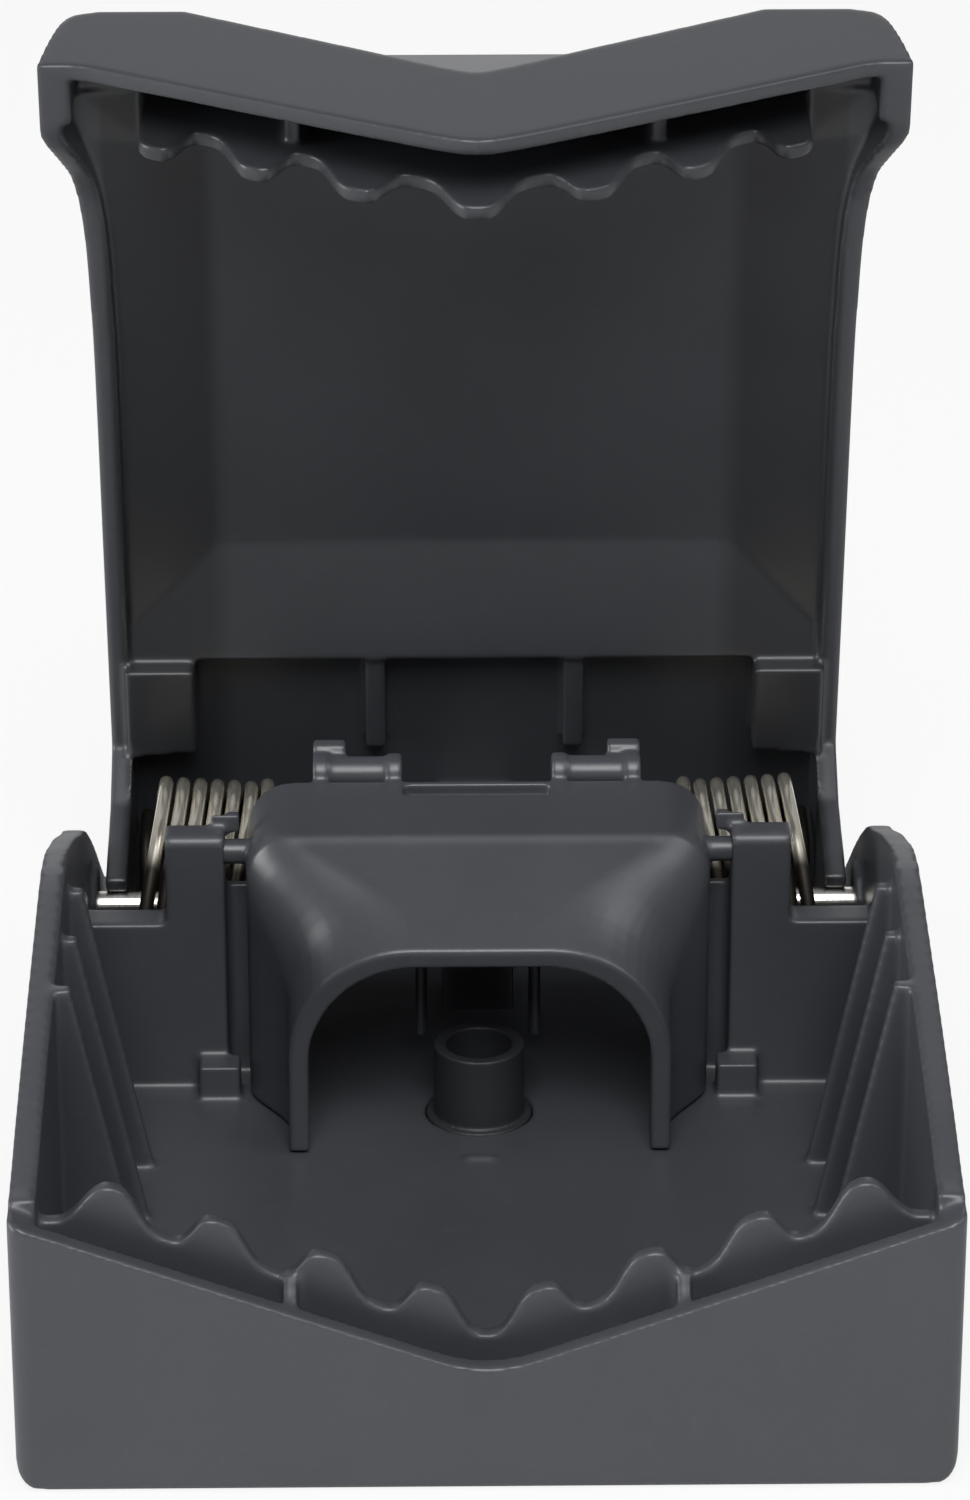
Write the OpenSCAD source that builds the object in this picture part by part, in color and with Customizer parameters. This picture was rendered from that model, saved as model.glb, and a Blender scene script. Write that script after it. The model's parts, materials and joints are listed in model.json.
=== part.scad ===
// Snap mouse trap, drawn in its set position, in millimetres.
// X runs across the trap, Y from the biting lip (front) to the press tab (back), Z up.
// The origin is the centre of the face that the trap stands on.
// Modules are written with Y counted from the front face; at_centre() moves them to the origin.
// The jaw is drawn shut and swung open by open_angle.

/* [Base] */
// Width across the base
base_w = 56; // [56:0.5:60]
// Length of the base, front to back
base_l = 78; // [78:0.5:82]
// Thickness of the side walls
side_t = 1.6; // [1.4:0.1:1.6]
// Thickness of the front wall
front_t = 1.3; // [1.2:0.1:1.4]
// Thickness of the floor
floor_t = 2; // [1.9:0.1:2]
// Height of the front corners, where the side rims start
corner_z = 18.5; // [18.3:0.1:18.6]
// Height of the lowest point of the V in the front wall
vee_z = 8.16; // [7.9:0.02:8.2]
// Thickness of the upright ribs along the side walls
rib_t = 1; // [0.8:0.1:1.2]

/* [Hinge] */
// Distance of the hinge from the front face
hinge_y = 60; // [60:0.1:60.2]
// Height of the hinge
hinge_z = 9.8; // [9.7:0.05:9.9]
// Diameter of the hinge rod
rod_d = 1.9; // [1.7:0.1:2]
// How far the set jaw stands open
open_angle = 79; // [76:1:79]

/* [Jaw] */
// Height of the jaw's roof above the ground when shut
roof_z = 26.2; // [26.2:0.1:27]
// Thickness of the jaw's roof
jaw_t = 1.6; // [1.3:0.1:1.6]
// Thickness of the jaw's side walls
jaw_side_t = 1.5; // [1.3:0.1:1.5]
// Length of the press tab behind the hinge
tab_l = 9.5; // [8.5:0.1:9.5]

/* [Teeth] */
// Spacing of the waves in the base
base_pitch = 6.28; // [6.2:0.02:6.36]
// Spacing of the teeth in the jaw
jaw_pitch = 6.4; // [6.3:0.05:6.45]
// Distance from the jaw's middle tooth to the next one
jaw_middle = 7.7; // [7.5:0.1:7.8]
// Thickness of both rows of teeth
tooth_t = 1.1; // [1:0.05:1.15]

/* [Trip arch] */
// Height of the arch's doorway rim
arch_z = 16.75; // [16:0.05:17]
// Half of the doorway rim's width
arch_hw = 12.5; // [12:0.1:12.8]
// Height of the arch's roof
arch_roof_z = 21.3; // [21:0.1:21.3]
// Wall thickness of the arch
arch_t = 1.3; // [1.1:0.1:1.4]

/* [Springs] */
// Diameter of the spring wire
wire_d = 0.9; // [0.8:0.05:0.9]
// Outer diameter of a coil
coil_d = 17.9; // [17:0.1:17.9]
// Number of whole turns in each coil
coil_turns = 6; // [5:1:6]
// Distance from one turn to the next
coil_pitch = 1.32; // [1.31:0.01:1.33]

/* [Bait cup] */
// Outer diameter of the cup above the floor
cup_d = 6; // [5.5:0.1:6.4]
// Height of the cup's rim above the ground
cup_z = 7; // [6:0.1:8]
// Diameter of the flange under the floor
flange_d = 10.4; // [9.6:0.1:10.4]

/* [Hidden] */
$fn = 48;
plastic = "#43464d";
plastic_inner = "#3a3d43";
steel = "#cfcabc";

eps = 0.01;
hw = base_w / 2;
in_hw = hw - side_t;               // inside of the base's side walls
vee_slope = 0.37;
bottom_r = 1.8;

// Side rim: a low front, a rounded hump and a long fall to the open back.
rim_points = [[0, corner_z], [4, 18.6], [10, 19.8], [20, 21.5], [30, 22.9], [36, 23.6], [40, 23.2], [44, 21.9],
              [48, 20.5], [54, 18], [57.5, 16.6], [65, 12], [75, 5], [base_l, 3.5]];

// Front wall, groove and wavy wall of the base
wave_y = 3;
wave_h = 1.15;
wave_z = vee_z + 1.44;
wave_last = 3.5 * base_pitch + 0.3;
wave_end_z = 16.75;
groove_depth = 2.2;
base_rib_x = 11.6;

// Ribs along the side walls of the base
rib_y = [23, 30, 37];
rib_top = [25.4, 22];
rib_foot = 21.3;

// Cross walls and the two posts that carry the arch
cross_y = [48, 50.6];
cross_z = 14.1;
post_x = [16.74, 20.7];
post_z = 20.4;

// Trip arch
arch_back_hw = 15.3;
arch_ys = [38.3, 39.5, 40.4, 41.2, 42, 42.8, 43.6, 44.4, 45.2, 46, 46.6, 47.2, 48, 55];
arch_side_y = 50;                  // where its side walls end
arch_foot_z = 2.15;
pivot = [49.2, 18.9];
pivot_r = 0.85;
knuckle = [56.5, 21.2];
knuckle_r = 1.35;
knuckle_x = [5, 11];

// Catch between the arch and the jaw's hub
catch_hw = 2.4;
catch_r = 5.22;                    // outer reach of the hub's tooth
nose_y = hinge_y - 5.35;           // rear face of the arch's nose

// Jaw, shut
lip_t = 1.15;
lip_low_z = 8.55;                  // lower edge of the lip at the centre
lip_slope = 0.425;
lip_top_z = 17.6;                  // upper edge of the lip at the centre
lip_flat = 19;                     // where that edge reaches the roof
lip_lean = 3.3;                    // how far the front leans back above the lip
jaw_fill_z = 16.4;                 // roof of the gap in front of the teeth
jaw_teeth_y = 4.4;
jaw_teeth_hw = 21.6;
jaw_wave_z = 9.6;
jaw_wave_slope = 0.435;
jaw_wave_h = 1.6;
roof_flat = 17.5;
roof_slope = 0.225;
cheek_z = 18.7;                    // lower edge of the cheeks
side_low_z = 22.3;                 // lower edge of the side walls
arm_r = 2.1;                       // radius of the arms at the sides
hub_r = 3.2;
hub_hw = 3;
ramp_y = [39.8, 48.6];
ramp_z = 22.6;
jaw_plan = [[28, 0], [28, 4.6], [27.85, 5.6], [27.3, 7], [26.9, 8.2], [26.5, 9.4], [26.2, 10.6], [25.9, 12.4],
            [25.65, 15], [25.5, 19], [25.4, 25], [25.4, 41], [25.4, 54], [25.4, hinge_y + tab_l]];

// Springs
coil_r = (coil_d - wire_d) / 2;
coil_x = 13.65;                    // inner end of the coil
coil_start = -87;
coil_last = 72;                    // part turn after the whole ones
rings_a_turn = 8;
wire_sides = 6;
leg_to_base = 13.4;
leg_to_jaw = 8.8;

// Bait cup
bait_y = 44.5;
cup_body_r = 3.5;
cup_wall = 0.8;

function mix(a, b, t) = a + (b - a) * t;
function smooth(t) = let (c = max(0, min(1, t))) c * c * (3 - 2 * c);
function arc(c, r, a0, a1, n) = [for (i = [0:n]) c + r * [cos(mix(a0, a1, i / n)), sin(mix(a0, a1, i / n))]];
function other_side(half) = [for (i = [len(half) - 1:-1:0]) [-half[i][0], half[i][1]]];
function both(half) = concat(half, other_side(half));

// Smooth curve through the points of a list, with n steps between each pair.
function curve(p, n) = concat([for (i = [0:len(p) - 2], k = [0:n - 1]) let (a = p[max(i - 1, 0)], b = p[i],
    c = p[i + 1], d = p[min(i + 2, len(p) - 1)], t = k / n)
    0.5 * (2 * b + (c - a) * t + (2 * a - 5 * b + 4 * c - d) * t * t + (3 * b - a - 3 * c + d) * t * t * t)],
    [p[len(p) - 1]]);

rim = curve(rim_points, 5);

// Distance from the middle, with a rounded bottom of radius r.
function soft(x, r) = sqrt(x * x + r * r);

// A wave with broad tops and bottoms and steep sides, from 1 at t = 0 to -1 at t = 0.5.
function wave(t) = let (c = cos(360 * t)) c * (1.5 - 0.5 * c * c);

// Height of the base's V at x.
function vee(x, low) = low + vee_slope * (abs(x) < 3 ? 1.5 + x * x / 6 : abs(x)) - vee_slope * 1.1;

// Height of the lip's lower edge at x.
function lip_edge(x) = min(lip_low_z + lip_slope * (soft(x, 1.5) - 1.5), cheek_z);

// ---- helpers ----

module at_centre() {
    translate([0, -base_l / 2, 0]) children();
}

module swung_open() {
    translate([0, hinge_y, hinge_z]) rotate([-open_angle, 0, 0]) translate([0, -hinge_y, -hinge_z]) children();
}

// A Y-Z outline carried from x0 to x1.
module side_plate(x0, x1, points) {
    translate([x0, 0, 0]) rotate([90, 0, 90]) linear_extrude(x1 - x0) polygon(points);
}

// An X-Z outline carried from y0 to y1.
module front_plate(y0, y1, points) {
    translate([0, y1, 0]) rotate([90, 0, 0]) linear_extrude(y1 - y0) polygon(points);
}

module both_sides() {
    children();
    mirror([1, 0, 0]) children();
}

module box(low, high) {
    translate(low) cube(high - low);
}

module cross_pin(x0, x1, y, z, r) {
    translate([x0, y, z]) rotate([0, 90, 0]) cylinder(h = x1 - x0, r = r);
}

// ---- base ----

function wave_at(x) = let (a = abs(x))
    a < wave_last ? wave_z + vee_slope * soft(x, 1) - wave_h * wave(a / base_pitch)
                  : mix(wave_z + vee_slope * wave_last + wave_h, wave_end_z, smooth((a - wave_last) / 2.9));

module base_outside() {
    r = bottom_r;
    intersection() {
        front_plate(0, base_l, both(concat([[hw, 40]], arc([hw - r, r], r, 0, -90, 8))));
        side_plate(-hw, hw, concat([[0.4, 0], [0, 0.4]], rim, [[base_l, 0.4], [base_l - 0.4, 0]]));
        linear_extrude(40) polygon(both(concat([[hw, base_l]], arc([hw - 1, 1], 1, 0, -90, 6))));
    }
}

module base_front() {
    xs = [for (i = [0:112]) mix(-in_hw - eps, in_hw + eps, i / 112)];
    close = [[in_hw + eps, floor_t - eps], [-in_hw - eps, floor_t - eps]];
    front_plate(wave_y, wave_y + tooth_t, concat([for (x = xs) [x, wave_at(x)]], close));
    front_plate(front_t - eps, wave_y + eps, concat([for (x = xs) [x, vee(x, vee_z) - groove_depth]], close));
    both_sides() side_plate(base_rib_x - 0.42, base_rib_x + 0.42, [[front_t - eps, floor_t], [front_t - eps, 12],
        [wave_y + eps, 13.2], [wave_y + eps, floor_t]]);
}

module base_side_parts() {
    for (y = rib_y) front_plate(y - rib_t / 2, y + rib_t / 2, [[in_hw + eps, floor_t - eps], [in_hw + eps, rib_top[1]],
        [rib_top[0], rib_top[1]], [rib_foot, floor_t - eps]]);
    box([post_x[1] - eps, cross_y[0], floor_t - eps], [in_hw + eps, cross_y[1], cross_z]);
    side_plate(post_x[0], post_x[1], concat([[cross_y[1], floor_t - eps], [cross_y[1], post_z - 0.5],
        [cross_y[1] - 0.4, post_z - 0.5], [cross_y[1] - 0.4, post_z]],
        arc([cross_y[0] + 0.6, post_z - 0.6], 0.6, 90, 180, 5), [[cross_y[0], floor_t - eps]]));
    // lug that keeps the arch's pivot in its bore
    box([post_x[0] - 0.94, 49.8, 19.9], [post_x[0] + eps, cross_y[1], 21.2]);
    box([post_x[0] - 0.3, 49.8, 19.9], [post_x[0] + 1, cross_y[1] - 0.41, 21.2]);
    box([15.9, 46, floor_t - eps], [18.7, cross_y[0] + eps, 4.4]);
    // screen between the arch and the spring
    box([12.8, 50.2, floor_t - eps], [post_x[0] + eps, 50.9, 16]);
    // thicker wall round the end of the hinge rod
    side_plate(in_hw - 0.5, in_hw + eps, [[57.2, floor_t - eps], [57.2, 11.2], [58.5, 12.4], [61.5, 12.2], [62.8, 10.8],
        [62.8, floor_t - eps]]);
}

module base_tray() {
    color(plastic) at_centre() difference() {
        union() {
            difference() {
                base_outside();
                box([-in_hw, front_t, floor_t], [in_hw, base_l + 1, 60]);
                xs = [for (i = [0:56]) mix(-hw - 1, hw + 1, i / 56)];
                front_plate(-1, front_t + 1, concat([for (x = xs) [x, vee(x, vee_z)]], [[hw + 1, 60], [-hw - 1, 60]]));
            }
            base_front();
            both_sides() base_side_parts();
            box([-1, 37.25, floor_t - eps], [1, 37.7, floor_t + 0.35]);
        }
        cross_pin(-hw - 1, hw + 1, hinge_y, hinge_z, rod_d / 2 + eps);
        both_sides() {
            cross_pin(post_x[0] - 2, 19.5, pivot[0], pivot[1], pivot_r + 0.05);
            // window under the spring and groove for its leg
            box([12.6, 50.9, -1], [23.9, 69.3, floor_t + 1]);
            box([12.95, hinge_y - leg_to_base - 0.3, -1], [14.35, 51, 1.4]);
        }
        translate([0, bait_y, -1]) cylinder(h = 5, r = cup_body_r + 0.08);
        translate([0, bait_y, -1]) cylinder(h = 2.2, d = flange_d + 0.2);
    }
}

// ---- jaw ----

function jaw_phase(x) = abs(x) < jaw_middle ? abs(x) / jaw_middle : 1 + (abs(x) - jaw_middle) / jaw_pitch;
function jaw_wave_at(x) = jaw_wave_z + jaw_wave_slope * (soft(x, 2.5) - 2.5) - jaw_wave_h * wave(jaw_phase(x));
function roof_at(x, z) = z - roof_slope * max(0, abs(x) - roof_flat);

module jaw_section(z) {
    // everything under the roof line
    front_plate(-1, 90, both([[0, z], [roof_flat, z], [30, roof_at(30, z)], [30, 0]]));
}

module jaw_plan_solid(inset, y0, z0, z1) {
    p = [for (q = curve(jaw_plan, 3)) [q[0] - inset, q[1]]];
    translate([0, 0, z0]) linear_extrude(z1 - z0) intersection() {
        polygon(both(p));
        translate([-40, y0]) square([80, 90]);
    }
}

// Everything above the lower edge of the jaw, seen from the side.
module jaw_side_keep() {
    side_plate(-hw, hw, concat([[-1, 60], [-1, 0], [lip_t, 0], [lip_t, cheek_z], [4.6, cheek_z]],
        curve([[4.6, cheek_z], [6.2, 19.2], [8, 20.5], [9.8, 21.8], [12, side_low_z]], 3),
        [[46, side_low_z], [51, 21.6], [56.4, 14.6], [hinge_y - arm_r, hinge_z], [hinge_y + arm_r, hinge_z],
        [hinge_y + 4, 15], [hinge_y + 6.4, 21], [hinge_y + tab_l, side_low_z + 0.1], [hinge_y + tab_l, 60]]));
}

module jaw_shell() {
    xs = [for (i = [0:56]) mix(-23.4, 23.4, i / 56)];
    top = roof_z - jaw_t;
    intersection() {
        difference() {
            jaw_plan_solid(0, 0, 0, 40);
            intersection() {
                jaw_plan_solid(jaw_side_t, jaw_teeth_y, -1, 30);
                jaw_section(top);
            }
            front_plate(lip_t, jaw_teeth_y + eps,
                concat([for (x = xs) [x, min(jaw_fill_z + 0.4 * soft(x, 1), top - 1)]], [[23.4, -1], [-23.4, -1]]));
            box([-40, hinge_y + tab_l - eps, -1], [40, 90, 40]);
        }
        union() {
            jaw_section(roof_z);
            // cheeks stand up to the lip's flat top
            side_plate(-hw, hw, [[0, 0], [0, roof_z + 0.1], [lip_t, roof_z + 0.1], [14, 24.4], [14, 0]]);
        }
        jaw_side_keep();
    }
}

module lip_cut() {
    low = [for (i = [0:56]) let (x = mix(-hw - 1, hw + 1, i / 56)) [x, lip_edge(x)]];
    front_plate(-1, lip_t + eps, concat(low, [[hw + 1, -1], [-hw - 1, -1]]));
    // leaning front above the lip
    polyhedron([[0, -0.01, lip_top_z], [-lip_flat, -0.01, roof_z + 0.2], [lip_flat, -0.01, roof_z + 0.2],
                [-lip_flat, lip_lean, roof_z + 0.2], [lip_flat, lip_lean, roof_z + 0.2]],
               [[0, 1, 2], [0, 3, 1], [0, 2, 4], [0, 4, 3], [1, 3, 4, 2]]);
    // rounded top corners
    both_sides() front_plate(-1, 20, concat(curve([[hw + 0.01, cheek_z], [hw - 0.45, 21.5], [hw - 1, 24], [hw - 1.5, 25.2],
        [hw - 2.2, 25.9], [hw - 3.4, roof_z + 0.01]], 3), [[hw - 3.4, roof_z + 4], [hw + 2, roof_z + 4], [hw + 2, cheek_z]]));
}

module jaw_teeth() {
    w = jaw_teeth_hw;
    xs = [for (i = [0:112]) mix(-w, w, i / 112)];
    top = roof_z - jaw_t + eps;
    front_plate(jaw_teeth_y, jaw_teeth_y + tooth_t, concat([for (x = xs) [x, jaw_wave_at(x)]],
        [[w, roof_at(w, top)], [roof_flat, top], [-roof_flat, top], [-w, roof_at(w, top)]]));
    both_sides() {
        front_plate(lip_t - eps, jaw_teeth_y + eps, [[11.2, 16.2], [12.2, 16.4], [12.2, 22], [11.2, 22]]);
        side_plate(w - 1, w, [[jaw_teeth_y + tooth_t - eps, 19.8], [jaw_teeth_y + tooth_t - eps, 24.2],
            [8.4, 24.2], [8, 23]]);
    }
}

module jaw_ribs() {
    top = roof_z - jaw_t + eps;
    in = 24.2;
    intersection() {
        union() {
            side_plate(-in, in, [[ramp_y[0], top], [ramp_y[1], ramp_z], [ramp_y[1] + 0.01, top]]);
            both_sides() box([19.4, ramp_y[1] - eps, 21.2], [in, 55.4, top]);
        }
        jaw_section(top);
    }
    both_sides() box([6.2, ramp_y[1] - eps, 22.9], [7.6, 56.2, top]);
}

module jaw_hub() {
    cross_pin(-hub_hw, hub_hw, hinge_y, hinge_z, hub_r);
    side_plate(-hub_hw + 0.5, hub_hw - 0.5, [[60.5, hinge_z + 1], [60.5, roof_z - jaw_t + eps], [65, roof_z - jaw_t + eps],
        [62.6, hinge_z + 1]]);
}

module jaw() {
    y = hinge_y;
    z = hinge_z;
    color(plastic) at_centre() difference() {
        union() {
            swung_open() {
                difference() {
                    jaw_shell();
                    lip_cut();
                    // the arms end on the rod as half saddles
                    both_sides() box([20, y - 5, z - 8], [30, y + 5, z]);
                }
                jaw_teeth();
                jaw_ribs();
                jaw_hub();
                // finger ridges on the press tab
                for (i = [0:3]) box([-12, y + 0.6 + 2.3 * i, roof_z - eps], [12, y + 1.4 + 2.3 * i, roof_z + 0.4]);
            }
            // tooth that hangs on the arch's nose
            side_plate(-catch_hw, catch_hw, concat([[y - 2.5, z + 0.2]], arc([y, z], catch_r, 177.8, 160, 4), [[y - 2.5, z + 1.8]]));
        }
        cross_pin(-hw - 1, hw + 1, y, z, rod_d / 2 + 0.05);
    }
}

// ---- trip arch ----

function arch_outline(w, top, r) = both(concat([[w, arch_foot_z]], arc([w - r, top - r], r, 0, 90, 12)));

// From the doorway rim the hood swings outwards, rises to its fold and goes back level.
function hood_hw(y) = mix(arch_hw, arch_back_hw, smooth((y - 41.2) / 6));
function hood_top(y) = y < 46.6 ? mix(arch_z, arch_roof_z, (y - 38.3) / 8.5) : arch_roof_z;
function hood_r(y) = mix(7.9, 3, smooth((y - 39) / 9));

// One section of the wall: along its outside from foot to foot, and back along its inside.
function arch_section(y) = let (w = hood_hw(y), top = hood_top(y), r = hood_r(y), out = arch_outline(w, top, r),
    in = arch_outline(w - arch_t, top - arch_t, r - arch_t * 0.7), n = len(out))
    [for (i = [0:2 * n - 1]) let (p = i < n ? out[i] : in[2 * n - 1 - i]) [p[0], y, p[1]]];

// The wall of the arch, carried from section to section.
module arch_wall() {
    rings = [for (y = arch_ys) arch_section(y)];
    n = len(rings[0]);
    last = (len(rings) - 1) * n;
    sides = [for (i = [0:len(rings) - 2], j = [0:n - 1], k = [0, 1])
        let (a = i * n + j, b = i * n + (j + 1) % n, c = a + n, d = b + n) k == 0 ? [a, b, d] : [a, d, c]];
    ends = [for (j = [0:n / 2 - 2], k = [0:3]) let (a = j, b = j + 1, c = n - 2 - j, d = n - 1 - j)
        [[a, d, c], [a, c, b], [last + a, last + b, last + c], [last + a, last + c, last + d]][k]];
    polyhedron([for (r = rings) each r], concat(sides, ends));
}

module arch_knuckles() {
    x0 = knuckle_x[0];
    x1 = knuckle_x[1];
    for (x = [x0, x1 - 1]) {
        cross_pin(x, x + 1, knuckle[0], knuckle[1], knuckle_r);
        box([x, 54.4, 20], [x + 1, knuckle[0], 20.9]);
    }
    cross_pin(x0, x1, knuckle[0], knuckle[1], 1.15);
    side_plate(8.8, x1, [[knuckle[0] - 0.2, 20.4], [57.4, 22.9], [58.4, 22.9], [59, 22], [58.6, 20.6]]);
}

module trip_arch() {
    color(plastic) at_centre() {
        difference() {
            arch_wall();
            // the side walls stop in front of the springs
            box([-20, arch_side_y, -3], [20, 60, 18.9]);
            // pocket between the knuckles
            box([-4.9, 52.9, 20.35], [4.9, 54.4, 30]);
        }
        both_sides() {
            arch_knuckles();
            cross_pin(arch_back_hw - 0.6, 19.2, pivot[0], pivot[1], pivot_r);
            // prongs over the bait
            box([3.4, 50, 4.6], [4.2, 51.5, arch_roof_z - 1]);
        }
        // catch plate and its nose
        box([-catch_hw, 51.9, 5.6], [catch_hw, 53.4, arch_roof_z - 1]);
        side_plate(-catch_hw, catch_hw, [[53.4 - eps, 7.4], [53.4 - eps, 9.8], [nose_y, 9.8], [nose_y, 8.4]]);
    }
}

// ---- hinge rod, springs and bait cup ----

module hinge_rod() {
    color(steel) at_centre() cross_pin(-hw + 0.3, hw - 0.3, hinge_y, hinge_z, rod_d / 2);
}

coil_angle = 360 * coil_turns + coil_last;
coil_steps = ceil(coil_angle / 360 * rings_a_turn);
function coil_point(i) = let (t = i * coil_angle / coil_steps, a = coil_start + t)
    [coil_x + coil_pitch * t / 360, hinge_y + coil_r * cos(a), hinge_z + coil_r * sin(a)];
coil = [for (i = [0:coil_steps]) coil_point(i)];

// Path of the right spring: leg under the floor, coil, leg to the jaw.
leg_dir_a = [0, sin(coil_start), -cos(coil_start)];
leg_dir_b = [0, -sin(coil_start + coil_last), cos(coil_start + coil_last)];
spring_path = concat([coil[0] + leg_dir_a * leg_to_base, coil[0] + leg_dir_a * leg_to_base / 2], coil,
                     [coil[coil_steps] + leg_dir_b * leg_to_jaw / 2, coil[coil_steps] + leg_dir_b * leg_to_jaw]);

function unit(v) = v / norm(v);
function tangent(p, i) = unit(p[min(i + 1, len(p) - 1)] - p[max(i - 1, 0)]);
function wire_ring(p, i, d) = let (t = tangent(p, i), n = unit(cross(t, [1, 0, 0])), b = cross(t, n))
    [for (k = [0:wire_sides - 1]) let (a = 360 * k / wire_sides) p[i] + d / 2 * (cos(a) * n + sin(a) * b)];

spring_gap = min([for (i = [0:coil_steps - 5], j = [i + 5:coil_steps]) norm(coil[i] - coil[j])]) - wire_d;
echo(spring_least_gap_mm = spring_gap);

module spring_form() {
    rings = [for (i = [0:len(spring_path) - 1]) wire_ring(spring_path, i, wire_d)];
    n = wire_sides;
    last = len(rings) - 1;
    sides = [for (i = [0:last - 1], j = [0:n - 1], k = [0, 1])
        let (a = i * n + j, b = i * n + (j + 1) % n, c = a + n, d = b + n) k == 0 ? [a, c, b] : [b, c, d]];
    ends = [for (j = [1:n - 2], k = [0, 1]) k == 0 ? [0, j, j + 1] : [last * n, last * n + j + 1, last * n + j]];
    polyhedron([for (r = rings) each r], concat(sides, ends));
}

module spring_right() {
    color(steel) at_centre() spring_form();
}

module spring_left() {
    color(steel) at_centre() mirror([1, 0, 0]) spring_form();
}

module bait_cup() {
    color(plastic_inner) at_centre() translate([0, bait_y, 0]) difference() {
        union() {
            translate([0, 0, 0.3]) cylinder(h = 0.8, d = flange_d);
            translate([0, 0, 0.3]) cylinder(h = 1.65, r = cup_body_r);
            translate([0, 0, 0.3]) cylinder(h = cup_z - 0.3, d = cup_d);
        }
        translate([0, 0, 2.4]) cylinder(h = cup_z, d = cup_d - 2 * cup_wall);
        // two pockets leave a bar to grip
        difference() {
            translate([0, 0, -1]) cylinder(h = 2.5, r = 2.6);
            translate([-3, -0.6, -2]) cube([6, 1.2, 5]);
        }
    }
}

base_tray();
hinge_rod();
spring_left();
spring_right();
jaw();
trip_arch();
bait_cup();
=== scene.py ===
# %% [markdown]
# # A snap mouse trap, dressed for the studio
#
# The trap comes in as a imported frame: a base, a sprung jaw, a trip arch and a bait cup, each
# riding on its own body. This lesson gives every one of them the look of the real thing.
# Everything is in metres, and lies where the frame puts it, so nothing is fitted by hand.

import json
import math

import bmesh
import bpy
import numpy as np
from mathutils import Euler, Matrix, Vector


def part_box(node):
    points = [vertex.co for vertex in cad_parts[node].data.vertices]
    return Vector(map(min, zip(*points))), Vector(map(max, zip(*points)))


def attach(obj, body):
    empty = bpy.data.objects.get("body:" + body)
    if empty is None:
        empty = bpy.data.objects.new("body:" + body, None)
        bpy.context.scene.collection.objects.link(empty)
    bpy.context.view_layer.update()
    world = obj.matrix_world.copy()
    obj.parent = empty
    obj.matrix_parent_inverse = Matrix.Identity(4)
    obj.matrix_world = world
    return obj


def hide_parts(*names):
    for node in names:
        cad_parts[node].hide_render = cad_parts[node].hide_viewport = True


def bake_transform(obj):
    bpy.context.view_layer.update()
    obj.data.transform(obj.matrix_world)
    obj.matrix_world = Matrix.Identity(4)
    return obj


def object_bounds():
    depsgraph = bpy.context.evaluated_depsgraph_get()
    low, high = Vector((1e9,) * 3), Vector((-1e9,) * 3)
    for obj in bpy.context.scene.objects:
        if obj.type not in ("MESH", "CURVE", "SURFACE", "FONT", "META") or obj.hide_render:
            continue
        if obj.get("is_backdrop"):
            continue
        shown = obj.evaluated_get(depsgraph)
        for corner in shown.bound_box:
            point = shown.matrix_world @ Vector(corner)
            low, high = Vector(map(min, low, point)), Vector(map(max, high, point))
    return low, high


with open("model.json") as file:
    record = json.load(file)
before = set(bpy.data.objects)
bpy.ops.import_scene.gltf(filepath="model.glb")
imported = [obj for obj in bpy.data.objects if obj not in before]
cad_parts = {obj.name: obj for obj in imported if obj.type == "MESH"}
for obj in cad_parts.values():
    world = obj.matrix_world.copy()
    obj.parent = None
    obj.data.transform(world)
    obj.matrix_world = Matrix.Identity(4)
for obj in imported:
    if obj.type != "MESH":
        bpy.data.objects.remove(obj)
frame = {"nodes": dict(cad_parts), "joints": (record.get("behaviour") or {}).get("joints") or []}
cad_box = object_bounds()

MM = 0.001
jaw_joint = next(joint for joint in frame["joints"] if joint["name"] == "jaw_hinge")
hinge = np.array(jaw_joint["pos_m"])
# The jaw stands open by this angle, and many of its measures are simplest when it lies shut.
OPEN = math.radians(jaw_joint["range_deg"][1])
base_low, base_high = np.array(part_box("base_tray"))
print("base", (base_high - base_low) / MM, "mm, hinge at", hinge / MM, "mm")


# %% Adding an object
def add_object(name, data):
    """An object that holds a mesh, a lamp or a camera, at the origin of the frame."""
    made = bpy.data.objects.new(name, data)
    bpy.context.collection.objects.link(made)
    return made


# %% [markdown]
# ## Camera
#
# The trap is shown from the front and from above, with the jaw standing open behind the base.
# A long lens keeps the side rims nearly parallel, as a product picture does. The camera comes
# first, because every later choice is judged through it.

# %% Camera
PICTURE_HEIGHT = 1500  # pixels
FOCAL_LENGTH = 5458.6  # pixels
SENSOR = 36.0  # millimetres, which stand for the picture's height
CAMERA_AT = (-3.6 * MM, -316.86 * MM, 172.82 * MM)
LOOK_DOWN, LOOK_RIGHT, ROLL = math.radians(24.154), math.radians(0.727), math.radians(0.03)

camera_data = bpy.data.cameras.new("camera")
camera_data.sensor_fit = "VERTICAL"
camera_data.sensor_height = SENSOR
camera_data.lens = FOCAL_LENGTH / PICTURE_HEIGHT * SENSOR
camera_data.clip_start = 10 * MM
camera = add_object("camera", camera_data)
camera.location = CAMERA_AT
camera.rotation_euler = Euler((math.pi / 2 - LOOK_DOWN, ROLL, -LOOK_RIGHT), "XYZ")
bpy.context.scene.camera = camera
bpy.context.scene.view_settings.view_transform = "Standard"
print("lens", round(camera_data.lens, 1), "mm")

# %% [markdown]
# ## Writing shaders as sums
#
# A node tree is a formula. `Value` wraps one socket, so that `1 - mask * 0.4` adds the Math
# nodes by itself, and `Nodes.node` makes any other node from its type, its settings and its
# inputs. Each finish below is then a few lines that read like the recipe they are.


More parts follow.
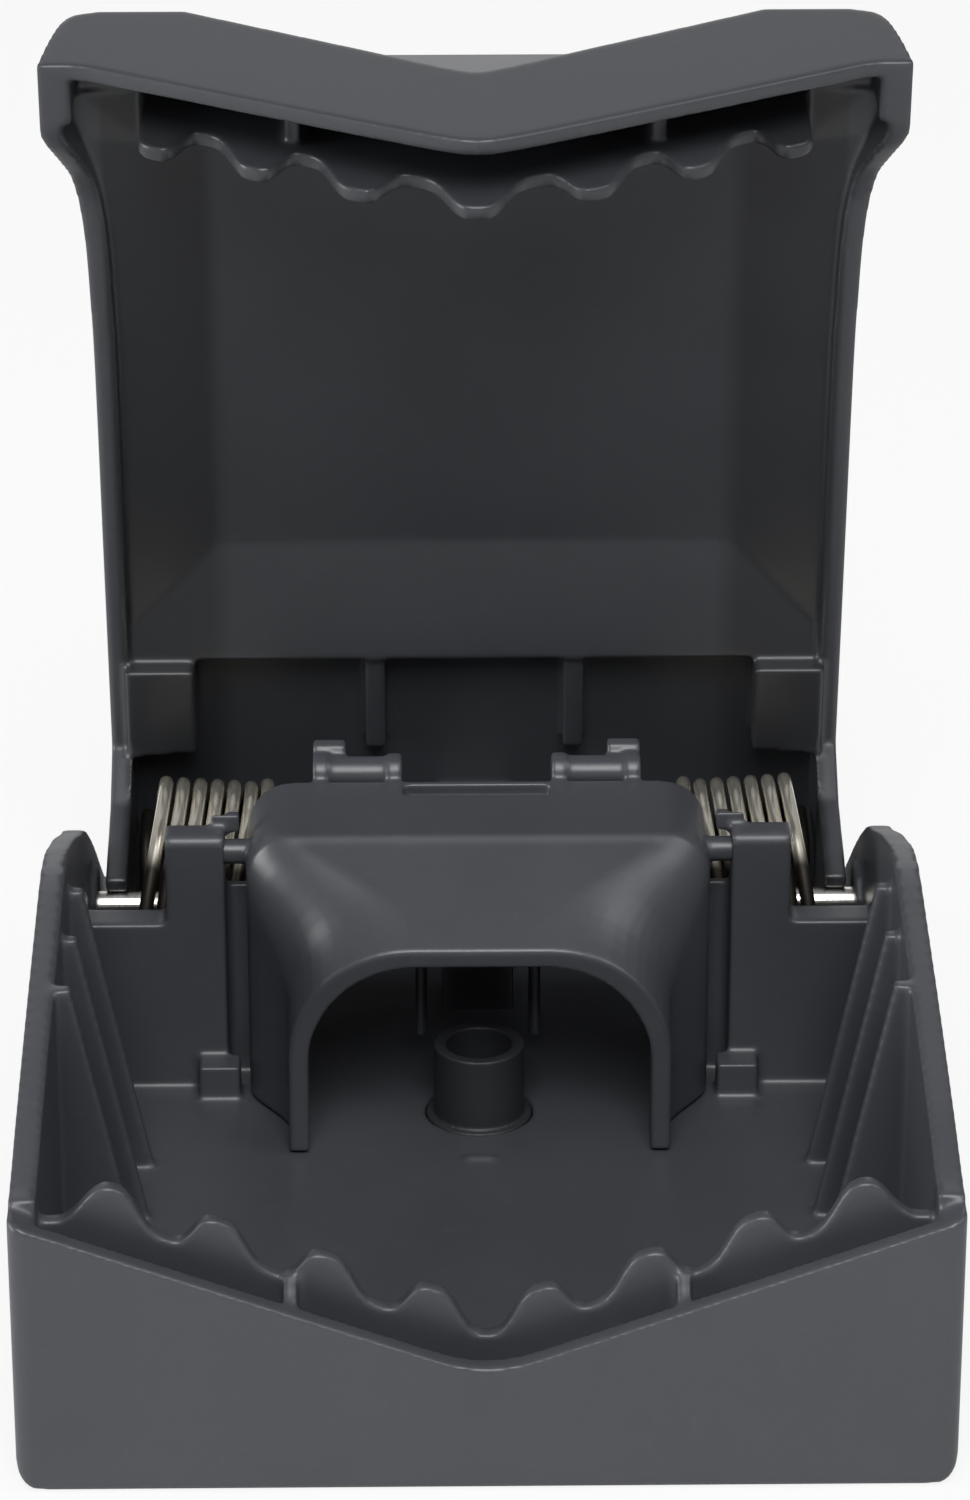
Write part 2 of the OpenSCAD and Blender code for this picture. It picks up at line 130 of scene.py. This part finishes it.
# %% A value in a node tree
class Value:
    """One output socket, with + - * and abs() that add Math nodes."""

    def __init__(self, nodes, socket):
        self.nodes, self.socket = nodes, socket

    def _math(self, operation, a, b=0.0):
        return self.nodes.node("Math", {"operation": operation}, {0: a, 1: b})

    def __add__(self, other):
        return self._math("ADD", self, other)

    def __sub__(self, other):
        return self._math("SUBTRACT", self, other)

    def __mul__(self, other):
        return self._math("MULTIPLY", self, other)

    def __rsub__(self, other):
        return self._math("SUBTRACT", other, self)

    def __abs__(self):
        return self._math("ABSOLUTE", self)

    __radd__, __rmul__ = __add__, __mul__


# %% Nodes of a material or a world
class Nodes:
    """A node tree that is being written, for whatever uses it."""

    def __init__(self, user):
        user.use_nodes = True
        self.tree = user.node_tree

    def plug(self, socket, value):
        """A Value is linked to the socket, and anything else is written into it."""
        if isinstance(value, Value):
            self.tree.links.new(value.socket, socket)
        else:
            socket.default_value = value

    def node(self, kind, settings=None, inputs=None, output=0):
        """Adds the node: settings first, then its sockets' values or links. Returns one output."""
        made = self.tree.nodes.new("ShaderNode" + kind)
        for name, value in (settings or {}).items():
            setattr(made, name, value)
        for name, value in (inputs or {}).items():
            self.plug(made.inputs[name], value)
        return Value(self, made.outputs[output])


# %% A finish, from its noises to its shader
class Finish(Nodes):
    """A material that is being written, with a Principled shader waiting at its end."""

    def __init__(self, name):
        self.material = bpy.data.materials.new(name)
        super().__init__(self.material)
        self.shader = self.tree.nodes["Principled BSDF"]

    def place(self):
        return self.node("TexCoord", output="Object")

    def along(self, axis):
        """The place along one axis: 0 for x, 1 for y, 2 for z."""
        return self.node("SeparateXYZ", None, {0: self.place()}, output=axis)

    def grain(self, size, detail=2.0, roughness=0.5):
        """Noise about 0.5, in lumps of the given size in metres."""
        return self.node("TexNoise", None, {"Vector": self.place(), "Scale": 1 / size,
                                            "Detail": detail, "Roughness": roughness})

    def spread(self, value, low, high):
        """0 at low and 1 at high, straight between them, also where low is the greater one."""
        return self.node("MapRange", {"clamp": True}, {"Value": value, 1: low, 2: high})

    def blend(self, factor, a, b):
        """Mixes two colours."""
        return self.node("Mix", {"data_type": "RGBA"}, {0: factor, 6: a, 7: b}, output=2)

    def bump(self, height, strength, distance):
        return self.node("Bump", None, {"Height": height, "Strength": strength, "Distance": distance})

    def set(self, **sockets):
        """Sets the shader's sockets; an underscore in a name stands for a space."""
        for name, value in sockets.items():
            self.plug(self.shader.inputs[name.replace("_", " ")], value)
        return self.material


def shade(colour, times):
    """A colour as red, green and blue, made paler or darker."""
    return tuple(c * times for c in colour)


# %% [markdown]
# ## Moulded plastic
#
# The trap is injection moulded in a dark blue-grey plastic. Such moulds are often spark eroded,
# which leaves a fine even grain, a soft sheen and no clear reflection. The colour hardly
# varies: a little where the melt flowed, and a little paler where dust lies. Three sizes of
# noise make this: a fine one for the grain, a middle one for the dust, and a wide one for the
# slow waves in colour and gloss.

# %% Plastic finish
GRAIN_SIZE, GRAIN_DEPTH, GRAIN_STRENGTH = 0.16 * MM, 0.012 * MM, 0.22
DUST_SIZE = 1.3 * MM
FLOW_SIZE = 9 * MM
DUST_PALES, GRAIN_PALES = 0.5, 0.25
FLOW_DULLS, GRAIN_DULLS = 0.12, 0.1
SHEEN = 0.6  # the Principled shader's Specular IOR Level


def moulded_plastic(name, colour, gloss, painted_shade=None):
    """Dark plastic with a spark-eroded grain; gloss is the mean roughness.

    Where a mask of painted shade is given, the plastic is painted darker, as shade, where that mask is above
    0.
    """
    f = Finish(name)
    flow = f.grain(FLOW_SIZE, detail=3)
    fine = f.grain(GRAIN_SIZE, detail=3, roughness=0.6)
    dust = f.spread(f.grain(DUST_SIZE, detail=5, roughness=0.7), 0.56, 0.78)
    pale = tuple(c * 1.32 + 0.004 for c in colour)
    tone = f.blend(f.spread(flow, 0.3, 0.7), (*colour, 1), (*shade(colour, 1.1), 1))
    tone = f.blend(dust * DUST_PALES + f.spread(fine, 0.45, 0.75) * GRAIN_PALES, tone, (*pale, 1))
    # Painted shade inside the jaw: the colour darkens where the mask is above 0.
    if painted_shade:
        tone = f.blend(painted_shade(f), tone, PAINTED_SHADE_INSIDE)
    return f.set(Base_Color=tone,
                 Roughness=gloss + (flow - 0.5) * FLOW_DULLS + (fine - 0.5) * GRAIN_DULLS,
                 Specular_IOR_Level=SHEEN, Normal=f.bump(fine, GRAIN_STRENGTH, GRAIN_DEPTH))


# %% [markdown]
# The inside of the jaw lies in shade, darkest in the two bands beside the plain panel, and that
# shade is painted into the colour here. Part of that is shade, and how much of it is finish is
# a guess: here the finish itself is darker. A mask finds these places from the Object
# coordinates alone: each `spread` is a soft step, and their product is 1 only where all of them
# are. The last step is on the height that a point has with the jaw shut.

# %% The painted shade inside the jaw
# The colour of the painted shade inside the jaw.
PAINTED_SHADE_INSIDE = (0.008, 0.0085, 0.009, 1)
# Each pair is a soft step, which is 0 at the first value and 1 at the second.
INSIDE_X = (24.6 * MM, 24.2 * MM)  # to either side
INSIDE_Z = (68 * MM, 66 * MM)
UNDER_ROOF = (15.9 * MM, 15.2 * MM)  # heights over the hinge with the jaw shut
BAND_X = (16.6 * MM, 18.2 * MM)
PANEL_SHADE, BAND_SHADE = 0.22, 0.42


# The mask of painted shade: how much the inside of the jaw is darkened as shade.
def painted_shade_inside(f):
    """0 outside, 0.22 on the panel inside the jaw, and 0.22 + 0.42 in its side bands.

    With the jaw shut, a point's height over the hinge is y sin(open) + z cos(open), measured
    from the hinge.
    """
    across, y, z = abs(f.along(0)), f.along(1), f.along(2)
    height = (y - hinge[1]) * math.sin(OPEN) + (z - hinge[2]) * math.cos(OPEN)
    inside = f.spread(across, *INSIDE_X) * f.spread(z, *INSIDE_Z) * f.spread(height, *UNDER_ROOF)
    return inside * (f.spread(across, *BAND_X) * BAND_SHADE + PANEL_SHADE)


# %% The four plastics
PLASTIC = (0.046, 0.0488, 0.0565)
base_plastic = moulded_plastic("base_plastic", shade(PLASTIC, 1.1), gloss=0.4)
jaw_plastic = moulded_plastic("jaw_plastic", shade(PLASTIC, 0.88), gloss=0.4, painted_shade=painted_shade_inside)
arch_plastic = moulded_plastic("arch_plastic", shade(PLASTIC, 1.08), gloss=0.36)
cup_plastic = moulded_plastic("cup_plastic", shade(PLASTIC, 0.42), gloss=0.55)
for plastic in (base_plastic, jaw_plastic, arch_plastic, cup_plastic):
    print(plastic.name, len(plastic.node_tree.nodes), "nodes")

# %% [markdown]
# ## Steel
#
# The springs are finished as nickel-plated music wire, bright with a warm cast, and the hinge
# rod as plain bright steel. A metal shows what it mirrors, tinted by its own colour, so the
# roughness does most of the work here, with slow changes in how sharp the reflections are. The
# lower and front stretches of the turns lie in shade, dark and dull, and only their tops are
# bright. That shade is painted here, as a darker colour and more roughness. A film of old oil
# stands for that here, and whether there is one is a guess.

# %% Steel finishes
WEAR_SIZE, WEAR_DULLS = 2.5 * MM, 0.1
DRAWN_SIZE, DRAWN_DEPTH, DRAWN_STRENGTH = 0.12 * MM, 0.006 * MM, 0.15
# Painted shade on the springs: the colour and the extra roughness of their lower, front stretches.
SPRING_SHADE = (0.03, 0.027, 0.022, 1)
SHADE_FADE, SHADE_DULLS = 2 * MM, 0.4


def bright_wire(name, colour, gloss, metal=1.0, shade_height=None):
    """Drawn metal: clear reflections with slow changes in their sharpness.

    A `metal` a little below 1 keeps some of the colour where there is nothing bright to mirror.
    Painted shade darkens and dulls it in front of y and below z at the height given, fading over 2 mm.
    """
    f = Finish(name)
    wear = f.grain(WEAR_SIZE, detail=4)
    drawn = f.grain(DRAWN_SIZE)
    tone = f.blend(f.spread(wear, 0.35, 0.7), (*colour, 1), (*shade(colour, 0.82), 1))
    gloss = gloss + f.spread(wear, 0.4, 0.8) * WEAR_DULLS
    # Painted shade: the colour darkens and the roughness rises in front of and below the given height.
    if shade_height:
        unshaded = f.spread(f.along(1), shade_height - SHADE_FADE, shade_height) * f.spread(f.along(2), shade_height - SHADE_FADE, shade_height)
        tone = f.blend(unshaded, SPRING_SHADE, tone)
        gloss = gloss + (1 - unshaded) * SHADE_DULLS
    return f.set(Base_Color=tone, Metallic=metal, Roughness=gloss,
                 Normal=f.bump(drawn, DRAWN_STRENGTH, DRAWN_DEPTH))


spring_metal = bright_wire("spring_metal", (1.0, 0.95, 0.82), gloss=0.13, metal=0.88, shade_height=16.4 * MM)
rod_metal = bright_wire("rod_metal", (0.68, 0.67, 0.64), gloss=0.26)
for metal in (spring_metal, rod_metal):
    print(metal.name, len(metal.node_tree.nodes), "nodes")

# %% [markdown]
# ## From frame solid to moulding
#
# A moulded part has no sharp edges: they are broken by a few tenths of a millimetre, and that
# thin rounding catches the light and makes a part look real. A Bevel modifier needs clean
# edges, and these solids are full of slivers where it does nothing or throws up spikes. So a
# copy of each is rebuilt instead, in four steps that ask nothing of its edges: Remesh builds it
# again from small cells, Smooth rubs the steps and the edges round, Decimate thins the flats,
# and Weighted Normal keeps the flats flat to the eye. Smaller cells and fewer passes give a
# smaller rounding, so the fine arch has finer cells than the base.

# %% Merged copy of a frame solid
SAME_PLACE = 0.001 * MM
MOST_TRIANGLES = 185000


def triangles(mesh):
    return sum(len(face.vertices) - 2 for face in mesh.polygons)


def merged_copy(node, reshape=None):
    """A copy of a node's mesh. `reshape` may move its points, then loose triangles are merged."""
    mesh = frame["nodes"][node].data.copy()
    if reshape:
        points = np.empty(len(mesh.vertices) * 3, dtype=np.float32)
        mesh.vertices.foreach_get("co", points)
        points = reshape(points.reshape(-1, 3).astype(float))
        mesh.vertices.foreach_set("co", points.astype(np.float32).ravel())
    form = bmesh.new()
    form.from_mesh(mesh)
    bmesh.ops.remove_doubles(form, verts=form.verts, dist=SAME_PLACE)
    form.to_mesh(mesh)
    form.free()
    return mesh


# %% Rounding with modifiers
RUB = 0.5  # the share of the way to its neighbours' middle that a point moves in one pass
FLAT_WEIGHT = 60


def rubbed_round(piece, cell, passes):
    """The mesh that the cells, the rubbing and the thinning make of a piece."""
    cells = piece.modifiers.new("cells", "REMESH")
    cells.mode, cells.voxel_size, cells.adaptivity, cells.use_smooth_shade = "VOXEL", cell, 0.0, True
    rub = piece.modifiers.new("rub", "SMOOTH")
    rub.factor, rub.iterations = RUB, passes
    made = triangles(piece.evaluated_get(bpy.context.evaluated_depsgraph_get()).data)
    if made > MOST_TRIANGLES:
        fewer = piece.modifiers.new("fewer", "DECIMATE")
        fewer.ratio = MOST_TRIANGLES / made
    rounded = bpy.data.meshes.new_from_object(piece.evaluated_get(bpy.context.evaluated_depsgraph_get()))
    print(piece.name, made, "triangles before thinning,", triangles(rounded), "after")
    return rounded


def rounded_copy(node, name, body, finish, cell, passes, reshape=None, turn=0.0):
    """A copy of a CAD node with every edge rounded, which rides on the body in its stead.

    While it is rebuilt the copy is turned by `turn` about the hinge, so that the cells lie along
    its flats.
    """
    mesh = merged_copy(node, reshape)
    turned = Matrix.Translation(hinge) @ Matrix.Rotation(turn, 4, "X") @ Matrix.Translation(-hinge)
    mesh.transform(turned)
    piece = add_object(name, mesh)
    rounded = rubbed_round(piece, cell, passes)
    rounded.transform(turned.inverted())
    rounded.name = name
    rounded.materials.clear()
    rounded.materials.append(finish)
    piece.modifiers.clear()
    piece.data = rounded
    flats = piece.modifiers.new("flats", "WEIGHTED_NORMAL")
    flats.mode, flats.weight = "FACE_AREA", FLAT_WEIGHT
    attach(piece, body)
    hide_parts(node)


# %% [markdown]
# ## Two trims of the jaw
#
# On the real jaw, the front edge of each arm runs straight down to the rod, and the cheeks
# beside the lip are as thin as the wall that they continue. Both are a matter of a few corners,
# so the corners of the copy are moved before it is rounded: numpy turns all points into the
# frame of the shut jaw, picks the corners by their place, moves them, and turns all back.

# %% Trims of the jaw
# Places are (y, z) in millimetres from the hinge with the jaw shut: old corner, new corner.
ARM_EDGE = {(-9.0, 11.8): (-4.5, 12.5), (-8.69, 11.4): (-4.1, 11.5), (-3.6, 4.8): (-2.5, 8.2),
            (-11.41, 12.14): (-11.41, 12.5)}
ARM_X = 23.8  # the arms lie further out than this
THICK_CHEEK_X, THIN_CHEEK_X = 23.4, 25.85
CHEEK_FRONT, CHEEK_BACK, CHEEK_FOOT = -59, -55.5, 8.5
ARM_NEAR, CHEEK_NEAR = 0.05, 0.02


def trimmed_jaw(points):
    """The jaw's points with both trims made: each picked corner moves to its new place.

    Turning by the open angle is y' = y cos - z sin and z' = y sin + z cos, and the way back has
    the other signs.
    """
    cos, sin = math.cos(OPEN), math.sin(OPEN)
    side, x = np.copysign(1, points[:, 0]), np.abs(points[:, 0]) / MM
    y, z = (points[:, 1] - hinge[1]) / MM, (points[:, 2] - hinge[2]) / MM
    y, z = y * cos - z * sin, y * sin + z * cos
    for (old_y, old_z), (new_y, new_z) in ARM_EDGE.items():
        corner = (x > ARM_X) & (np.hypot(y - old_y, z - old_z) < ARM_NEAR)
        y, z = np.where(corner, new_y, y), np.where(corner, new_z, z)
        print("arm corners moved:", int(corner.sum()))
    cheek = (np.abs(x - THICK_CHEEK_X) < CHEEK_NEAR) & (y > CHEEK_FRONT) & (y < CHEEK_BACK) & (z > CHEEK_FOOT)
    x = np.where(cheek, THIN_CHEEK_X, x)
    y, z = y * cos + z * sin, z * cos - y * sin
    return np.stack([side * x * MM, hinge[1] + y * MM, hinge[2] + z * MM], axis=1)


# %% The four mouldings
rounded_copy("base_tray", "base", "base", base_plastic, cell=0.2 * MM, passes=9)
rounded_copy("jaw", "jaw_moulding", "jaw", jaw_plastic, cell=0.19 * MM, passes=10,
             reshape=trimmed_jaw, turn=OPEN)
rounded_copy("trip_arch", "arch", "trigger", arch_plastic, cell=0.15 * MM, passes=10)
rounded_copy("bait_cup", "cup_moulding", "cup", cup_plastic, cell=0.12 * MM, passes=4)

# %% [markdown]
# ## Springs
#
# Each spring is one length of wire: a leg in a groove under the floor, a little over seven
# turns round the hinge rod, and a leg that pushes the jaw. A helix is a circle that travels
# sideways as its angle grows, and the wire is a small ring carried along that path.


# %% A mesh from a grid of points
def grid_mesh(name, points):
    """A closed mesh from points (rows, columns, 3): each cell of the grid becomes one face.

    The last column joins the first, and the first and last rows are closed by one face each.
    """
    rows, columns = points.shape[:2]
    index = np.arange(rows * columns).reshape(rows, columns)
    beside = np.roll(index, -1, axis=1)
    faces = np.stack([index[:-1], beside[:-1], beside[1:], index[1:]], axis=-1).reshape(-1, 4).tolist()
    faces += [index[0, ::-1].tolist(), index[-1].tolist()]
    mesh = bpy.data.meshes.new(name)
    mesh.from_pydata(points.reshape(-1, 3).tolist(), [], faces)
    mesh.update()
    return mesh


# %% Wire along a path
def wire_rings(path, radius, sides):
    """Rings carried along a path: each lies in the plane across the path's direction there.

    With the two directions u and v of that plane, a ring's points are
    p + radius * (u cos(a) + v sin(a)).
    """
    ahead = np.gradient(path, axis=0)
    ahead /= np.linalg.norm(ahead, axis=1, keepdims=True)
    across = np.cross(ahead, [1.0, 0.0, 0.0])
    across /= np.linalg.norm(across, axis=1, keepdims=True)
    third = np.cross(ahead, across)
    turn = np.linspace(0, 2 * np.pi, sides, endpoint=False)
    ring = across[:, None] * np.cos(turn)[:, None] + third[:, None] * np.sin(turn)[:, None]
    return path[:, None] + radius * ring


# %% The path of a spring
WIRE_R, WIRE_SIDES = 0.48 * MM, 12
COIL_R = 8.45 * MM
COIL_START, COIL_SWEEP = -87, 7 * 360 + 72  # degrees
COIL_PITCH = 1.16 * MM
COIL_X = 13.65 * MM  # where the coil begins, and it ends a pitch further out for each turn
COIL_END_X = COIL_X + COIL_PITCH * COIL_SWEEP / 360
STEPS_IN_A_TURN = 32
LEAN, LEAN_FROM, LEAN_EASE = 0.2, 3 * MM, 2 * MM
DROOP, DROOP_GROWS = 0.7 * MM, 8
LEG_TO_BASE, BASE_LEG_STEPS = 13.2 * MM, 6
LEG_TO_JAW, JAW_LEG_STEPS = 6.4 * MM, 12
LEG_BEND, BEND_AFTER, BEND_STEPS = 1.2, 2, 6  # radians, then steps along the leg


def tangent(angle):
    """The direction of a circle in the YZ plane at an angle: (0, -sin, cos)."""
    return np.stack([0 * angle, -np.sin(angle), np.cos(angle)], axis=-1)


def coil_path():
    """Leg, coil and leg: the coil's x grows with its angle, and each leg leaves along its tangent.

    Above the rod the turns lean inwards: x gains lean * (R - s - h), where h follows the height
    u over a level s above the rod and eases to 0 below it, h = (u + sqrt(u^2 + ease^2)) / 2.
    The upper half of each turn droops too, in proportion to its height, because there is free
    space round the rod. The droop grows over the first turn and lessens towards the coil's end:
    with t from 0 to 1 along the coil, it is times the smaller of 8 t and 1 - t.
    """
    turn = np.linspace(0, 1, int(COIL_SWEEP / 360 * STEPS_IN_A_TURN))
    angle = np.radians(COIL_START + turn * COIL_SWEEP)
    up = np.sin(angle) * COIL_R
    droop = DROOP * np.clip(np.minimum(turn * DROOP_GROWS, 1 - turn), 0, 1) * np.maximum(up, 0) / COIL_R
    over = up - LEAN_FROM
    above = (over + np.hypot(over, LEAN_EASE)) / 2
    x = COIL_X + (COIL_END_X - COIL_X) * turn + LEAN * (COIL_R - LEAN_FROM - above)
    coil = np.stack([x, hinge[1] + COIL_R * np.cos(angle), hinge[2] + up - droop], axis=1)
    back = np.linspace(1, 0, BASE_LEG_STEPS, endpoint=False)[:, None]
    to_base = coil[0] - tangent(angle[0]) * LEG_TO_BASE * back
    # The leg to the jaw bends backwards, so its direction turns by LEG_BEND along its length.
    steps = np.arange(1, JAW_LEG_STEPS + 1)
    bent = angle[-1] - LEG_BEND * np.clip((steps - BEND_AFTER) / BEND_STEPS, 0, 1)
    to_jaw = coil[-1] + np.cumsum(tangent(bent), axis=0) * LEG_TO_JAW / JAW_LEG_STEPS
    return np.concatenate([to_base, coil, to_jaw])


for name, side in (("spring_left", -1), ("spring_right", 1)):
    wire = grid_mesh(name, wire_rings(coil_path() * (side, 1, 1), WIRE_R, WIRE_SIDES))
    # The mirrored path turns the left wire inside out, so the faces are made to point outwards.
    form = bmesh.new()
    form.from_mesh(wire)
    bmesh.ops.recalc_face_normals(form, faces=form.faces)
    form.to_mesh(wire)
    form.free()
    wire.shade_smooth()
    wire.materials.append(spring_metal)
    spring = add_object(name + "_wire", wire)
    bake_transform(spring)
    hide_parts(name)
    print(spring.name, len(wire.polygons), "faces")

# %% [markdown]
# ## Hinge rod
#
# The rod is a cut length of wire, with its ends chamfered so that it could be pushed in. A
# profile of radius against length, turned round the X axis, gives it.

# %% Hinge rod
ROD_CHAMFER = 0.2 * MM
ROD_SIDES = 40


def turned_along_x(name, stations, radii, centre, sides):
    """A profile turned round a line along X: station gives x, radius gives the distance from it."""
    turn = np.linspace(0, 2 * np.pi, sides, endpoint=False)
    x = np.repeat(np.array(stations)[:, None], sides, axis=1)
    y = centre[1] + np.outer(radii, np.cos(turn))
    z = centre[2] + np.outer(radii, np.sin(turn))
    return grid_mesh(name, np.stack([x, y, z], axis=-1))


rod_low, rod_high = np.array(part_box("hinge_rod"))
rod_r = (rod_high[2] - rod_low[2]) / 2
rod_end = rod_high[0]
rod_x = [-rod_end, -rod_end + ROD_CHAMFER, rod_end - ROD_CHAMFER, rod_end]
rod_radii = [rod_r - ROD_CHAMFER, rod_r, rod_r, rod_r - ROD_CHAMFER]
rod_mesh = turned_along_x("rod", rod_x, rod_radii, hinge, ROD_SIDES)
rod_mesh.materials.append(rod_metal)
rod = add_object("rod", rod_mesh)
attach(rod, "base")
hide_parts("hinge_rod")
print("rod", round(2 * rod_end / MM, 2), "mm long,", round(2 * rod_r / MM, 2), "mm thick")

# %% [markdown]
# ## Studio
#
# A product picture has a white ground that still holds the object's shadow. The floor is pale
# paper, and for the camera alone it also glows, so it looks white without lighting the trap
# any more. The world does the same with the Light Path node: white for the camera, grey for the
# metal's reflections, and nearly dark for the light that it sheds.

# %% Floor
FLOOR_SIZE = 3.0
PAPER = (0.82, 0.82, 0.82, 1)
WHITE = (1, 1, 1, 1)
GLOW_SHARE = 0.86


def pale_floor():
    h = FLOOR_SIZE / 2
    mesh = bpy.data.meshes.new("floor")
    mesh.from_pydata([(-h, -h, 0), (h, -h, 0), (h, h, 0), (-h, h, 0)], [], [(0, 1, 2, 3)])
    f = Finish("floor_paper")
    seen = f.node("LightPath", output="Is Camera Ray")
    paper = f.node("BsdfDiffuse", None, {"Color": PAPER})
    glow = f.node("Emission", None, {"Color": WHITE, "Strength": 1.0})
    mixed = f.node("MixShader", None, {0: seen * GLOW_SHARE, 1: paper, 2: glow})
    f.plug(f.tree.nodes["Material Output"].inputs["Surface"], mixed)
    mesh.materials.append(f.material)
    add_object("floor", mesh)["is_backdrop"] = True
    print("floor", FLOOR_SIZE, "m square")


pale_floor()

# %% World
SHED, IN_METAL, ON_CAMERA = 0.05, 0.25, 1.0


def white_world():
    """A white background whose strength a chain of two mixes picks by the kind of ray."""
    world = bpy.data.worlds.new("studio")
    bpy.context.scene.world = world
    w = Nodes(world)
    strength = SHED
    for ray, value in (("Is Glossy Ray", IN_METAL), ("Is Camera Ray", ON_CAMERA)):
        strength = w.node("Mix", None, {0: w.node("LightPath", output=ray), 2: strength, 3: value})
    back = w.tree.nodes["Background"]
    w.plug(back.inputs["Color"], WHITE)
    w.plug(back.inputs["Strength"], strength)
    print("world", SHED, "on the trap,", IN_METAL, "in the metal,", ON_CAMERA, "behind")


white_world()

# %% [markdown]
# The lamps are round and wide, so that they give soft shadows and long even sheens. The key
# lamp stands high in front, and the top one fills the tray from nearly above. A low lamp at the
# left draws light along the ribs and the arch, a high one at the right balances it, and a weak
# one behind edges the jaw.

# %% Lamps
LAMP_SIZE = 0.5
AIM = (0, 0, 0.03)


def soft_lamp(name, at, power, size=LAMP_SIZE):
    data = bpy.data.lights.new(name, "AREA")
    data.shape, data.size, data.energy = "DISK", size, power
    lamp = add_object(name, data)
    lamp.location = at
    lamp.rotation_mode = "QUATERNION"
    lamp.rotation_quaternion = (Vector(AIM) - Vector(at)).to_track_quat("-Z", "Y")
    print(name, "lamp", power, "W")


soft_lamp("key", (0, -0.58, 0.69), 4.6)
soft_lamp("top", (0, -0.38, 0.82), 1.7)
soft_lamp("right", (0.6, -0.2, 0.65), 1.6)
soft_lamp("left", (-0.85, -0.1, 0.25), 4.8)
soft_lamp("back", (0, 0.85, 0.35), 0.8, size=0.6)

# %% Sizes, then the last line
seen_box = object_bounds()
grown = (np.array(seen_box) - np.array(cad_box)) / MM
print("grew by", grown.round(2).tolist(), "mm")
